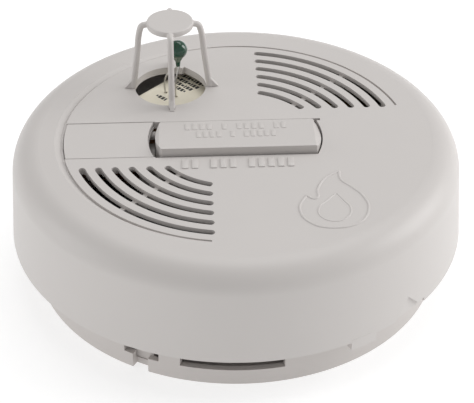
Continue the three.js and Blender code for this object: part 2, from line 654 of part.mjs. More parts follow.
// ---- Test button, its plunger and return spring ----
// A bar whose section is drawn in y and z, run along x and rounded off at both ends.
function buttonBar(section, endRadius) {
  const { endX } = BUTTON;
  const shape = new THREE.Shape(section.map(([y, z]) => new THREE.Vector2(y, z)));
  const run = new THREE.ExtrudeGeometry(shape, { depth: 80, bevelEnabled: false })
    .rotateX(Math.PI / 2)
    .rotateZ(Math.PI / 2)
    .translate(-40, 0, 0);
  return toGeometry(toManifold(run).intersect(toManifold(upright(endX, 0, endRadius, [30, 60], 120))));
}

function testButton() {
  const { endRadius, rearY, frontY, rise, thickness, skirt, hingeY, hingeZ, pinRadius } = BUTTON;
  const top = COVER.topZ;
  const solid = buttonBar(
    [[rearY, top - 5], [rearY, top], [frontY, top + rise], [frontY, top - 6.5]], endRadius);
  const inside = buttonBar([
    [rearY - skirt, top - 8], [rearY - skirt, top - thickness],
    [frontY + skirt, top + rise - thickness - 0.2], [frontY + skirt, top - 8],
  ], endRadius - skirt);
  const pins = [-1, 1].map((end) => new THREE.CylinderGeometry(pinRadius, pinRadius, 6.8, 16)
    .rotateZ(Math.PI / 2)
    .translate(end * 27.7, hingeY, hingeZ));
  const lugs = [[-24.8, -23.2], [24.4, 26.2]].map((x) =>
    block(x, [rearY - 3, rearY - 0.2], [hingeZ - 2, top - 4]));
  const { flange, plugRadius, y: plungerY } = PLUNGER;
  const socket = upright(0, plungerY, 3, [flange[1] + GAP, top + 0.4], 24);
  const socketBore = upright(0, plungerY, plugRadius + GAP, [flange[1], PLUNGER.top + GAP], 24);
  return cut(join(cut(solid, inside), ...lugs, ...pins, socket), socketBore);
}
place(button, "test_button", testButton(), WHITE_MOULDING);

function switchPlunger() {
  const { y, radius, bottom, flange, flangeRadius, plugRadius, top } = PLUNGER;
  return turned([
    [0, bottom], [radius, bottom], [radius, flange[0]], [flangeRadius, flange[0]], [flangeRadius, flange[1]],
    [plugRadius, flange[1]], [plugRadius, top - 0.4], [plugRadius - 0.4, top], [0, top],
  ], 24).translate(0, y, 0);
}
place(button, "switch_plunger", switchPlunger(), GREY_PLASTIC);

function buttonSpring() {
  const { radius, wire, turns } = SPRING;
  const stepsPerTurn = 10;
  const low = TRAY.top + GAP + wire;
  const high = PLUNGER.flange[0] - GAP - wire;
  const steps = turns * stepsPerTurn;
  const points = Array.from({ length: steps + 1 }, (_, i) => {
    const a = (i / stepsPerTurn) * 2 * Math.PI;
    return [radius * Math.cos(a), PLUNGER.y + radius * Math.sin(a), low + ((high - low) * i) / steps];
  });
  return tube(points, wire, steps, 6);
}
place(head, "button_spring", buttonSpring(), STEEL);

export default alarm;
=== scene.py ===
# Ceiling heat alarm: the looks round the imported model. Metres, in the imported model's own frame.
import math

import bmesh
import bpy
from mathutils import Matrix, Vector


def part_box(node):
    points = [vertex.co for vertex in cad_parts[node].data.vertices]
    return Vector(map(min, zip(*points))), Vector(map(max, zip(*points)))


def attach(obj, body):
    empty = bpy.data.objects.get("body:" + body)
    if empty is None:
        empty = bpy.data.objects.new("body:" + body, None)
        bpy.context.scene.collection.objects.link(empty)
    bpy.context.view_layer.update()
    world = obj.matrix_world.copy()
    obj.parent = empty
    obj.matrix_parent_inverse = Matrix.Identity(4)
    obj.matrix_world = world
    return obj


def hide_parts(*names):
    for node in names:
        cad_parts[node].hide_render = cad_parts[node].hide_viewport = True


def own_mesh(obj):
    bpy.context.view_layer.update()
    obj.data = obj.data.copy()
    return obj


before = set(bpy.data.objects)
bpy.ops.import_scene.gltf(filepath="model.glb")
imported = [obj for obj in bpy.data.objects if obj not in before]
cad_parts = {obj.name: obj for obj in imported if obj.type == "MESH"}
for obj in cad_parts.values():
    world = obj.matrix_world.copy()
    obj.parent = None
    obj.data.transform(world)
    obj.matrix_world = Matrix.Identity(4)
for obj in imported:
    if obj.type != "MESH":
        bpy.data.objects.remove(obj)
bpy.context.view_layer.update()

# ---- Camera ----
# A long lens about 0.6 m off, looking down at the alarm from the front. Its place is measured along its own
# axes from the middle of the cover's flat top.
MM = 0.001
TOP_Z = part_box("blanking_strip")[1].z
LENS = 140.9
CAMERA_BACK, CAMERA_RIGHT, CAMERA_DOWN = 612.7 * MM, 0.412 * MM, 21.402 * MM
azimuth, elevation, roll = (math.radians(angle) for angle in (-2.192, 35.949, -0.19))
back = Vector((math.sin(azimuth) * math.cos(elevation),
               -math.cos(azimuth) * math.cos(elevation),
               math.sin(elevation)))
level = Vector((math.cos(azimuth), math.sin(azimuth), 0))
steep = back.cross(level)
right = level * math.cos(roll) + steep * math.sin(roll)
up = steep * math.cos(roll) - level * math.sin(roll)
bpy.ops.object.select_all(action="DESELECT")
bpy.ops.object.camera_add(
    location=back * CAMERA_BACK + right * CAMERA_RIGHT - up * CAMERA_DOWN + Vector((0, 0, TOP_Z)),
    rotation=Matrix((right, up, back)).transposed().to_euler())
camera = bpy.context.object
camera.data.lens = LENS
camera.data.clip_start = 10 * MM
bpy.context.scene.camera = camera

# ---- Mounting base ----
# The round base is one thin dish moulded in off-white plastic and screwed to the ceiling. Its wall has a long
# slot in front and a cross-shaped knock-out with a tongue behind it, and four hooks stand on its floor.
BASE_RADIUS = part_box("mounting_base")[1].x
BASE_HEIGHT, BASE_WALL, BASE_FLOOR = 15.2 * MM, 2.2 * MM, 2.4 * MM
LONG_SLOT = (-107.4, -79.1, 5.7 * MM, 10.5 * MM)
KNOCKOUT_BAR = (-124, -113.5, 5.4 * MM, 10.5 * MM)
KNOCKOUT_STEM = (-121.3, -116.7, -1 * MM, 6 * MM)
KNOCKOUT_DEPTH = 2.5 * MM
TONGUE = (62.9 * MM, 65 * MM, -122, -116, 1 * MM, 13 * MM)
CABLE_HOLE_RADIUS, CABLE_HOLE_U = 13 * MM, -28 * MM
FIXING_SLOT = (48 * MM, 2.2 * MM, 7.2 * MM)
THROUGH_FLOOR = (-1 * MM, 5 * MM)
HOOKS = ((34 * MM, 30 * MM), (-34 * MM, 30 * MM), (24 * MM, -48 * MM), (-24 * MM, -48 * MM))
HOOK_THICK, HOOK_WIDE, HOOK_LOW, HOOK_HIGH, LIP_REACH, LIP_LOW = (
    3 * MM, 6 * MM, 1.5 * MM, 20.4 * MM, 4.1 * MM, 18.4 * MM)
MOULD_RADIUS = 0.3 * MM
DIAGONAL = math.radians(45)  # the hooks, plug and boards are laid out on axes v and u turned by this
SHARP = math.radians(33)  # an edge sharper than this stays a corner
LARGE_FLAT = 60 * MM * MM  # a face larger than this is one flat


def only(piece):
    bpy.ops.object.select_all(action="DESELECT")
    piece.select_set(True)
    bpy.context.view_layer.objects.active = piece
    return piece


def settle(piece, name=None):
    """Moves a piece's place, turn and scale into its mesh."""
    only(piece)
    bpy.ops.object.transform_apply(location=True, rotation=True, scale=True)
    if name:
        piece.name = piece.data.name = name
    return piece


def turned(piece, angle):
    """Turns a piece about the alarm's upright axis."""
    piece.rotation_euler = (0, 0, angle)
    return settle(piece)


def moved(piece, x, y, z=0.0):
    piece.location = (x, y, z)
    return settle(piece)


def upright(name, radius, low, high, x=0.0, y=0.0, sides=64):
    """A round bar along z between two heights."""
    bpy.ops.object.select_all(action="DESELECT")
    bpy.ops.mesh.primitive_cylinder_add(
        vertices=sides, radius=radius, depth=high - low, location=(x, y, (low + high) / 2))
    return settle(bpy.context.object, name)


def block(name, low, high):
    """A box between two corners."""
    low, high = Vector(low), Vector(high)
    bpy.ops.object.select_all(action="DESELECT")
    bpy.ops.mesh.primitive_cube_add(size=1, location=(low + high) / 2)
    bpy.context.object.scale = high - low
    return settle(bpy.context.object, name)


def opened(piece, kind, test):
    """Goes into edit mode with only the vertices, edges or faces that pass the test selected."""
    only(piece)
    bpy.ops.object.mode_set(mode="EDIT")
    bpy.ops.mesh.select_mode(type=kind)
    bpy.ops.mesh.select_all(action="DESELECT")
    mesh = bmesh.from_edit_mesh(piece.data)
    for item in {"VERT": mesh.verts, "EDGE": mesh.edges, "FACE": mesh.faces}[kind]:
        item.select_set(test(item))
    mesh.select_flush_mode()
    bmesh.update_edit_mesh(piece.data)


def closed():
    bpy.ops.object.mode_set(mode="OBJECT")


def middle(edge):
    return (edge.verts[0].co + edge.verts[1].co) / 2


def soften(piece, width, segments, test=lambda edge: True):
    """Gives the sharp edges that pass the test the small radius that a mould leaves."""
    opened(piece, "EDGE",
           lambda edge: len(edge.link_faces) == 2 and edge.calc_face_angle() > SHARP and test(edge))
    bpy.ops.mesh.bevel(offset=width, segments=segments, clamp_overlap=True)
    closed()


def round_uprights(tool, radius):
    """Rounds a block's upright edges into the ends of a slot."""
    opened(tool, "EDGE", lambda edge: abs(edge.verts[0].co.z - edge.verts[1].co.z) > 1 * MM)
    bpy.ops.mesh.bevel(offset=radius, segments=8)
    closed()


def ring_part(name, inner, outer, start, end, low, high, steps=24):
    """A bar of square section that runs round the alarm's axis between two azimuths in degrees."""
    bpy.ops.object.select_all(action="DESELECT")
    bpy.ops.mesh.primitive_plane_add(
        size=1, rotation=(math.pi / 2, 0, 0), location=((inner + outer) / 2, 0, (low + high) / 2))
    made = bpy.context.object
    made.scale = (outer - inner, high - low, 1)
    settle(made, name)
    turned(made, math.radians(start))
    opened(made, "FACE", lambda face: True)
    bpy.ops.mesh.spin(steps=steps, angle=-math.radians(end - start), center=(0, 0, 0), axis=(0, 0, 1))
    bpy.ops.mesh.select_all(action="SELECT")
    bpy.ops.mesh.remove_doubles(threshold=0.001 * MM)
    bpy.ops.mesh.normals_make_consistent(inside=False)
    closed()
    return made


def combine(piece, tools, operation):
    for tool in tools:
        only(piece)
        change = piece.modifiers.new("combine", "BOOLEAN")
        change.operation = operation
        change.solver = "EXACT"
        change.object = tool
        bpy.ops.object.modifier_apply(modifier=change.name)
        bpy.data.objects.remove(tool)
    return piece


def cut(piece, *tools):
    return combine(piece, tools, "DIFFERENCE")


def weld(piece, *tools):
    return combine(piece, tools, "UNION")


def trim(piece, *tools):
    return combine(piece, tools, "INTERSECT")


def smooth(piece):
    """Shades curved walls smooth and keeps the large flats flat."""
    only(piece)
    bpy.ops.object.shade_smooth_by_angle(angle=SHARP)
    opened(piece, "FACE", lambda face: face.calc_area() > LARGE_FLAT)
    bpy.ops.mesh.faces_shade_flat()
    closed()


def evened(piece):
    """Lets a smooth piece's wide faces lead its narrow ones in how they take the light."""
    smooth(piece)
    weights = piece.modifiers.new("even shading", "WEIGHTED_NORMAL")
    weights.keep_sharp = True
    bpy.ops.object.modifier_apply(modifier=weights.name)


class Signal:
    """A node's output that can stand in Python sums and products."""

    def __init__(self, surface, socket):
        self.surface, self.socket = surface, socket

    def maths(self, operation, a, b):
        return self.surface.node("ShaderNodeMath", {"operation": operation}, {0: a, 1: b})

    def __add__(self, other):
        return self.maths("ADD", self, other)

    def __sub__(self, other):
        return self.maths("SUBTRACT", self, other)

    def __rsub__(self, other):
        return self.maths("SUBTRACT", other, self)

    def __mul__(self, other):
        return self.maths("MULTIPLY", self, other)

    __radd__, __rmul__ = __add__, __mul__


class Surface:
    """A procedural material, built node by node onto its own shader."""

    def __init__(self, name):
        self.material = bpy.data.materials.new(name)
        self.material.use_nodes = True
        self.tree = self.material.node_tree
        self.shader = self.tree.nodes["Principled BSDF"]

    def feed(self, socket, value):
        if isinstance(value, Signal):
            self.tree.links.new(value.socket, socket)
        else:
            socket.default_value = value

    def node(self, kind, settings=None, inputs=None, output=0):
        made = self.tree.nodes.new(kind)
        for key, value in (settings or {}).items():
            if key == "stops":
                ramp = made.color_ramp.elements
                for index, (place, shade) in enumerate(value):
                    stop = ramp[index] if index < 2 else ramp.new(place)
                    stop.position, stop.color = place, (shade, shade, shade, 1)
            else:
                setattr(made, key, value)
        for key, value in (inputs or {}).items():
            self.feed(made.inputs[key], value)
        return Signal(self, made.outputs[output])

    def place(self, stretch=(1, 1, 1), turn=0.0):
        point = self.node("ShaderNodeTexCoord", output=3)
        return self.node("ShaderNodeMapping", {}, {
            "Vector": point, "Scale": stretch, "Rotation": (0, 0, turn)})

    def noise(self, size, detail=2.0, **where):
        return self.node("ShaderNodeTexNoise", {}, {
            "Vector": self.place(**where), "Scale": 1 / size, "Detail": detail, "Roughness": 0.55})

    def ramp(self, value, *stops):
        return self.node("ShaderNodeValToRGB", {"stops": stops}, {"Fac": value})

    def blend(self, amount, first, second):
        ends = [end if isinstance(end, Signal) else (*end, 1) for end in (first, second)]
        return self.node("ShaderNodeMix", {"data_type": "RGBA"}, {0: amount, 6: ends[0], 7: ends[1]}, output=2)

    def bump(self, height, depth):
        return self.node("ShaderNodeBump", {}, {"Height": height, "Distance": depth, "Strength": 1.0})

    def done(self, **sockets):
        for key, value in sockets.items():
            self.feed(self.shader.inputs[key.replace("_", " ")], value)
        return self.material


def moulded(name, colour, roughness, grain=0.4 * MM, depth=0.006 * MM, spread=0.02):
    """Injection-moulded plastic: a faint drift in colour, a fine spark-eroded grain and uneven gloss."""
    surface = Surface(name)
    drift = surface.noise(16 * MM, 3)
    speck = surface.noise(grain, 3)
    return surface.done(
        Base_Color=surface.blend(
            drift * 0.7 + speck * 0.3,
            [level * (1 - spread) for level in colour], [level * (1 + spread) for level in colour]),
        Roughness=drift * 0.08 + speck * 0.08 + (roughness - 0.08),
        Normal=surface.bump(speck, depth),
        IOR=1.49)


def paint(piece, material):
    piece.data.materials.clear()
    piece.data.materials.append(material)


def fitted(piece, body, slot, material, *nodes):
    """The last step for a new piece: its finish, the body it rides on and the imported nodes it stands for."""
    paint(piece, material)
    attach(piece, body)
    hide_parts(*nodes)


base_plastic = moulded("base_moulding", (0.60, 0.566, 0.545), 0.5)
base = upright("mounting_base_dish", BASE_RADIUS, 0, BASE_HEIGHT, sides=256)
opened(base, "FACE", lambda face: face.normal.z > 0.9)
bpy.ops.mesh.inset(thickness=BASE_WALL)
bpy.ops.mesh.extrude_region_move(TRANSFORM_OT_translate={"value": (0, 0, BASE_FLOOR - BASE_HEIGHT)})
closed()
through_wall = (BASE_RADIUS - BASE_WALL - 1 * MM, BASE_RADIUS + 1 * MM)
cut(base,
    ring_part("long_slot", *through_wall, *LONG_SLOT),
    ring_part("knockout_bar", *through_wall, *KNOCKOUT_BAR, 8),
    ring_part("knockout_stem", BASE_RADIUS - KNOCKOUT_DEPTH, through_wall[1], *KNOCKOUT_STEM, 6),
    turned(upright("cable_hole", CABLE_HOLE_RADIUS, *THROUGH_FLOOR, 0, CABLE_HOLE_U, 96), DIAGONAL))
for side in (-1, 1):
    v, radius, half = FIXING_SLOT
    hole = block("fixing_slot", (side * v - radius, -half, THROUGH_FLOOR[0]),
                 (side * v + radius, half, THROUGH_FLOOR[1]))
    round_uprights(hole, 0.98 * radius)
    cut(base, turned(hole, DIAGONAL))
soften(base, MOULD_RADIUS, 2)
for v, u in HOOKS:
    front, rear = u - HOOK_WIDE / 2, u + HOOK_WIDE / 2
    stem = block("hook", (v - HOOK_THICK / 2, front, HOOK_LOW), (v + HOOK_THICK / 2, rear, HOOK_HIGH))
    inner, outer = sorted((v - math.copysign(HOOK_THICK / 2, v), v + math.copysign(LIP_REACH, v)))
    weld(stem, block("hook_lip", (inner, front, LIP_LOW), (outer, rear, HOOK_HIGH)))
    soften(stem, MOULD_RADIUS, 2)
    weld(base, turned(stem, DIAGONAL))
weld(base, ring_part("knockout_tongue", *TONGUE, 6))
evened(base)
base.name = base.data.name = "mounting_base_dish"
fitted(base, "base", "base_moulding", base_plastic, "mounting_base")

# ---- Cable entry seal ----
# A black rubber grommet pressed into the base's cable hole. The mains cable is pushed through its middle.
def finish_node(material, *nodes):
    """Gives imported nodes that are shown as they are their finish."""
    for name in nodes:
        paint(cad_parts[name], material)


rubber = Surface("black_rubber")
bloom = rubber.noise(3 * MM, 4)
finish_node(rubber.done(
    Base_Color=rubber.blend(bloom, (0.012, 0.012, 0.013), (0.035, 0.034, 0.034)),
    Roughness=bloom * 0.2 + 0.7, Normal=rubber.bump(rubber.noise(0.5 * MM, 3), 0.02 * MM)), "cable_entry_seal")

# ---- Terminal block ----
# The fixed half of the mains connector, moulded in the cover's white plastic and clipped to the base's floor.
# Three plated steel screws clamp the cable's cores.
white_plastic = moulded("white_moulding", (0.615, 0.585, 0.566), 0.42)
finish_node(white_plastic, "terminal_block")


def metal(name, dark, bright, roughness, streak=(1, 1, 8)):
    """Drawn, plated or rolled metal with faint streaks and finger-dulled patches."""
    surface = Surface(name)
    lines = surface.noise(0.6 * MM, 3, stretch=streak)
    dull = surface.noise(5 * MM, 3)
    return surface.done(
        Base_Color=surface.blend(dull, dark, bright), Metallic=1.0,
        Roughness=lines * 0.15 + dull * 0.1 + (roughness - 0.12),
        Normal=surface.bump(lines, 0.004 * MM))


steel = metal("plated_steel", (0.40, 0.41, 0.42), (0.56, 0.57, 0.57), 0.34)
finish_node(steel, "terminal_screw_1", "terminal_screw_2", "terminal_screw_3")

# ---- Rear housing ----
# The head's floor, an off-white dish with windows for the plug, the hooks and the battery. Four steel screws
# hold it to bosses under the cover.
finish_node(base_plastic, "rear_housing")
finish_node(steel, "housing_screw_1", "housing_screw_2", "housing_screw_3", "housing_screw_4")

# ---- Main circuit board ----
# A brown paper-laminate board on three posts of the rear housing, held by small steel screws.
laminate = Surface("brown_laminate")
fibre = laminate.noise(1.4 * MM, 5, stretch=(1, 6, 1), turn=DIAGONAL)
cloudy = laminate.noise(9 * MM, 2)
finish_node(laminate.done(
    Base_Color=laminate.blend(fibre * 0.6 + cloudy * 0.4, (0.14, 0.055, 0.024), (0.32, 0.15, 0.068)),
    Roughness=fibre * 0.15 + 0.42, Normal=laminate.bump(fibre, 0.01 * MM)), "circuit_board")
finish_node(steel, "board_screw_1", "board_screw_2", "board_screw_3")

# ---- Plug ----
# The moving half of the mains connector: a white moulding soldered to the main board, with three brass pins
# that slide out of the base's terminal block when the head is released.
finish_node(white_plastic, "head_connector")
brass = metal("brass", (0.52, 0.33, 0.10), (0.72, 0.50, 0.20), 0.36)
finish_node(brass, "contact_pin_1", "contact_pin_2", "contact_pin_3")

# ---- Parts on the main board ----
# Bought-in components soldered to the board: the alarm chip and pin header in black epoxy, the test switch in
# grey plastic, a red lamp, a yellow film and a blue sleeved capacitor, a wound inductor and a dropper resistor.
black_plastic = moulded("black_plastic", (0.018, 0.018, 0.020), 0.45, spread=0.25)
grey_plastic = moulded("grey_plastic", (0.15, 0.16, 0.165), 0.45, spread=0.08)
finish_node(black_plastic, "alarm_chip", "board_header")
finish_node(grey_plastic, "tact_switch")
finish_node(moulded("yellow_film_case", (0.66, 0.42, 0.06), 0.38, spread=0.08), "mains_capacitor")
finish_node(moulded("blue_sleeve", (0.02, 0.055, 0.16), 0.3, grain=2 * MM, spread=0.15), "reservoir_capacitor")
ceramic = moulded("glazed_ceramic", (0.72, 0.69, 0.63), 0.3, grain=1 * MM, spread=0.05)
finish_node(ceramic, "dropper_resistor")
lens = Surface("red_lens")
finish_node(lens.done(
    Base_Color=lens.blend(lens.noise(1.5 * MM, 2), (0.36, 0.008, 0.006), (0.55, 0.02, 0.015)),
    Roughness=lens.noise(0.8 * MM) * 0.1 + 0.1, Coat_Weight=0.6), "indicator_led")
winding = Surface("enamelled_copper")
turns = winding.node("ShaderNodeTexWave", {"bands_direction": "Z"}, {
    "Vector": winding.place(), "Scale": 1.1 / MM, "Distortion": 0.4, "Detail": 1.0})
finish_node(winding.done(
    Base_Color=winding.blend(turns, (0.20, 0.05, 0.015), (0.62, 0.24, 0.09)), Metallic=0.9,
    Roughness=turns * 0.15 + 0.28, Normal=winding.bump(turns, 0.06 * MM)), "sounder_inductor")

# ---- Sounder ----
# A black chamber under the sound slots holds a brass disc, coated with fired silver and ceramic, which buzzes.
finish_node(black_plastic, "sounder_chamber")
finish_node(brass, "piezo_disc")
finish_node(ceramic, "piezo_ceramic")

# ---- Backup battery ----
# A nine-volt block in a plain printed metal jacket, pushed in through the rear housing, and its snap connector.
jacket = Surface("battery_jacket")
scuff = jacket.noise(6 * MM, 5)
finish_node(jacket.done(
    Base_Color=jacket.blend(scuff, (0.030, 0.034, 0.040), (0.065, 0.070, 0.080)), Metallic=0.4,
    Roughness=scuff * 0.25 + 0.28, Normal=jacket.bump(jacket.noise(1.2 * MM, 3), 0.01 * MM)), "battery")
finish_node(black_plastic, "battery_snap")

# ---- Sensor board ----
# A small cream board under the hole in the cover, stood off the main board by the pin header. Rows of plain
# black dashes stand for its printed legends.
BOARD_V, BOARD_U, BOARD_THICK, LEAD_HOLE_RADIUS = (-6 * MM, 24 * MM), (24 * MM, 47.5 * MM), 1.6 * MM, 0.6 * MM
LEGEND_ROWS = (
    (21.9, 35.6, 46.0), (19.4, 35.8, 46.0), (17.0, 36.6, 45.4), (14.7, 37.6, 43.6), (6.5, 38.8, 43.6))
STROKE_WIDTHS, STROKE_HALF_LENGTHS, STROKE_GAP = (0.6, 1.05), (0.45, 0.8), 0.38
INK_LOW, INK_HIGH = -0.02 * MM, 0.03 * MM
SENSOR_BOARD_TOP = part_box("sensor_board")[1].z
THERMISTOR_FEET = ((-22.9 * MM, 36.8 * MM), (-19.4 * MM, 34.1 * MM))


def joined(pieces):
    """Puts loose pieces into one object without cutting them into each other."""
    only(pieces[0])
    for piece in pieces:
        piece.select_set(True)
    bpy.ops.object.join()
    return pieces[0]


sensor_board = turned(block("sensor_board_panel", (BOARD_V[0], BOARD_U[0], SENSOR_BOARD_TOP - BOARD_THICK),
                            (BOARD_V[1], BOARD_U[1], SENSOR_BOARD_TOP)), DIAGONAL)
cut(sensor_board, *[upright("lead_hole", LEAD_HOLE_RADIUS, 35 * MM, 50 * MM, x, y, 24)
                    for x, y in THERMISTOR_FEET])
soften(sensor_board, 0.1 * MM, 1)
smooth(sensor_board)
cream = Surface("cream_laminate")
weave = cream.noise(0.9 * MM, 4, stretch=(1, 3, 1), turn=DIAGONAL)
fitted(sensor_board, "head", "cream_board", cream.done(
    Base_Color=cream.blend(weave, (0.88, 0.82, 0.66), (0.95, 0.90, 0.77)),
    Roughness=weave * 0.15 + 0.45, Normal=cream.bump(weave, 0.008 * MM)), "sensor_board")
strokes = []
for row, (v, start, end) in enumerate(LEGEND_ROWS):
    u = start
    while u < end:
        wide = STROKE_WIDTHS[(len(strokes) + row) % 3 > 0]
        tall = STROKE_HALF_LENGTHS[len(strokes) % 4 > 0]
        strokes.append(block("stroke", ((v - tall) * MM, u * MM, SENSOR_BOARD_TOP + INK_LOW),
                             ((v + tall) * MM, (u + wide) * MM, SENSOR_BOARD_TOP + INK_HIGH)))
        u += wide + STROKE_GAP
legend = turned(joined(strokes), DIAGONAL)
legend.name = legend.data.name = "sensor_board_legend"
ink = Surface("black_ink")
thin = ink.noise(0.7 * MM, 4)
fitted(legend, "head", "cream_board", ink.done(
    Base_Color=ink.blend(thin, (0.015, 0.016, 0.015), (0.07, 0.07, 0.065)), Roughness=thin * 0.2 + 0.5))

# ---- Thermistor ----
# A bead dipped in glossy dark green epoxy that runs down to a narrow neck, on two tinned wires soldered to the
# small board.
BEAD, BEAD_RADIUS, NECK_Z = Vector((-18.4, 35.5, 61)) * MM, 3.3 * MM, 54.4 * MM
NECK = (0.7 * MM, 1.0 * MM, NECK_Z, 57.2 * MM)
SHOULDER_CONE = (0.75 * MM, 2.3 * MM, 56.2 * MM, 58.8 * MM)
WIRE_RADIUS, WIRE_SPACING = 0.3 * MM, 0.9 * MM


def cone(name, low_radius, high_radius, low, high, x, y, sides=64):
    bpy.ops.object.select_all(action="DESELECT")
    bpy.ops.mesh.primitive_cone_add(vertices=sides, radius1=low_radius, radius2=high_radius, depth=high - low,
                                    location=(x, y, (low + high) / 2))
    return settle(bpy.context.object, name)


def melted(piece, size, passes):
    """Fuses overlapping pieces into one skin and rounds the creases between them."""
    only(piece)
    skin = piece.modifiers.new("skin", "REMESH")
    skin.mode, skin.voxel_size = "VOXEL", size
    bpy.ops.object.modifier_apply(modifier=skin.name)
    round_off = piece.modifiers.new("round off", "SMOOTH")
    round_off.factor, round_off.iterations = 0.5, passes
    bpy.ops.object.modifier_apply(modifier=round_off.name)
    bpy.ops.object.shade_smooth()
    return piece


def rod(name, points, radius, cyclic=False, sharp=()):
    """A round rod with smooth bends through a row of points; the sharp ones keep a corner."""
    curve = bpy.data.curves.new(name, "CURVE")
    curve.dimensions = "3D"
    curve.bevel_depth, curve.bevel_resolution, curve.use_fill_caps = radius, 4, True
    spline = curve.splines.new("BEZIER")
    spline.bezier_points.add(len(points) - 1)
    spline.use_cyclic_u = cyclic
    for index, (knot, point) in enumerate(zip(spline.bezier_points, points)):
        knot.co = point
        knot.handle_left_type = knot.handle_right_type = "VECTOR" if index in sharp else "AUTO"
    made = bpy.data.objects.new(name, curve)
    bpy.context.collection.objects.link(made)
    only(made)
    bpy.ops.object.convert(target="MESH")
    opened(made, "FACE", lambda face: True)
    bpy.ops.mesh.remove_doubles(threshold=0.001 * MM)
    bpy.ops.mesh.normals_make_consistent(inside=False)
    closed()
    return made


bpy.ops.object.select_all(action="DESELECT")
bpy.ops.mesh.primitive_uv_sphere_add(segments=64, ring_count=32, radius=BEAD_RADIUS, location=BEAD)
bead = melted(joined([settle(bpy.context.object, "thermistor_drop"),
                      cone("neck", *NECK, BEAD.x, BEAD.y),
                      cone("shoulder", *SHOULDER_CONE, BEAD.x, BEAD.y)]), 0.14 * MM, 6)
epoxy = Surface("green_epoxy")
cloud = epoxy.noise(3 * MM, 3)
fitted(bead, "head", "green_epoxy", epoxy.done(
    Base_Color=epoxy.blend(cloud, (0.002, 0.042, 0.020), (0.003, 0.080, 0.042)),
    Roughness=cloud * 0.1 + 0.12, Coat_Weight=0.7, Coat_Roughness=0.05), "thermistor_bead")
tinned = metal("tinned_copper", (0.50, 0.49, 0.47), (0.68, 0.67, 0.64), 0.36)
for index, (side, (x, y)) in enumerate(zip((-WIRE_SPACING / 2, WIRE_SPACING / 2), THERMISTOR_FEET)):
    lead = rod("tinned_lead_%d" % (index + 1), (
        (BEAD.x + side, BEAD.y, NECK_Z - 0.1 * MM),
        ((BEAD.x + side + x) / 2, (BEAD.y + y) / 2, NECK_Z - 2.3 * MM),
        (x, y, NECK_Z - 5.5 * MM),
        (x, y, SENSOR_BOARD_TOP - 2.3 * MM)), WIRE_RADIUS)
    smooth(lead)
    fitted(lead, "head", "tinned_wire", tinned, "thermistor_lead_%d" % (index + 1))

# ---- Test button ----
# A long white rocker in the middle of the cover, moulded hollow with two hinge pins at its rear edge that turn
# in the cover. Its front edge stands proud, its ends slope off, and rows of low bars stand for its wording.
BUTTON_X, BUTTON_END, BUTTON_WALL, BUTTON_TOP_WALL = 0.8 * MM, 27.4 * MM, 1.6 * MM, 2.2 * MM
BUTTON_REAR, BUTTON_FRONT, BUTTON_RISE = 9.75 * MM, -10.25 * MM, 2.8 * MM
BUTTON_SLOPE = math.atan(BUTTON_RISE / (BUTTON_REAR - BUTTON_FRONT))
BUTTON_MIDDLE_Z = TOP_Z + BUTTON_REAR * math.tan(BUTTON_SLOPE)
END_SLOPES, END_SLOPE_ANGLE = (25.9 * MM, -25.3 * MM), math.radians(38)
HINGE_Y, HINGE_Z, PIN_RADIUS, PIN_SPAN = 8.5 * MM, 44 * MM, 1.4 * MM, (24.3 * MM, 31.1 * MM)
PIN_ROOTS = ((-24.8 * MM, -23.2 * MM), (24.4 * MM, 26.2 * MM))
PLUNGER_Y = -2 * MM
SOCKET_RADIUS, SOCKET_LOW, BORE_RADIUS, BORE_TOP = 3 * MM, 46.3 * MM, 1.8 * MM, 47.8 * MM


def wedge(name, inset, drop, low_rear, low_front):
    """The button's outline, drawn in by an inset and with its sloping top lowered by a drop."""
    made = block(name, (-40 * MM, BUTTON_FRONT + inset, low_front), (40 * MM, BUTTON_REAR - inset, TOP_Z))
    for rear in (False, True):
        y = BUTTON_REAR - inset if rear else BUTTON_FRONT + inset
        lift = (BUTTON_REAR - y) * math.tan(BUTTON_SLOPE) - drop
        opened(made, "VERT", lambda vert: vert.co.z > TOP_Z - 1 * MM and (vert.co.y > 0) == rear)
        bpy.ops.transform.translate(value=(0, 0, lift))
        closed()
    opened(made, "VERT", lambda vert: vert.co.z < low_front + 0.1 * MM and vert.co.y > 0)
    bpy.ops.transform.translate(value=(0, 0, low_rear - low_front))
    closed()
    return trim(made, upright("ends", BUTTON_END - inset, 20 * MM, 80 * MM, BUTTON_X, 0, 200))


button = wedge("test_button_shell", 0, 0, TOP_Z - 5 * MM, TOP_Z - 6.5 * MM)
for side, x in zip((1, -1), END_SLOPES):
    slope = block("end_slope", (min(0, side * 20 * MM), -30 * MM, 0),
                  (max(0, side * 20 * MM), 30 * MM, 20 * MM))
    slope.rotation_mode = "YXZ"
    slope.rotation_euler = (-BUTTON_SLOPE, side * END_SLOPE_ANGLE, 0)
    cut(button, moved(slope, x, 0, BUTTON_MIDDLE_Z))
soften(button, 1.1 * MM, 4, lambda edge: abs(edge.verts[0].co.z - edge.verts[1].co.z) > 3 * MM
       and abs(edge.verts[0].co.x - edge.verts[1].co.x) < 0.1 * MM)
soften(button, 0.35 * MM, 3, lambda edge: middle(edge).z > TOP_Z - 2.5 * MM)
cut(button, upright("pin_clearance", 0.95 * MM, 40 * MM, 55 * MM, BUTTON_END, HINGE_Y, 32))
cut(button, wedge("hollow", BUTTON_WALL, BUTTON_TOP_WALL, 30 * MM, 30 * MM))
for end in (-1, 1):
    pin = upright("hinge_pin", PIN_RADIUS, *PIN_SPAN, sides=40)
    opened(pin, "EDGE", lambda edge: middle(edge).z > PIN_SPAN[1] - 0.1 * MM)
    bpy.ops.mesh.bevel(offset=0.35 * MM, segments=2)
    closed()
    pin.rotation_euler = (0, end * math.pi / 2, 0)
    weld(button, moved(settle(pin), 0, HINGE_Y, HINGE_Z))
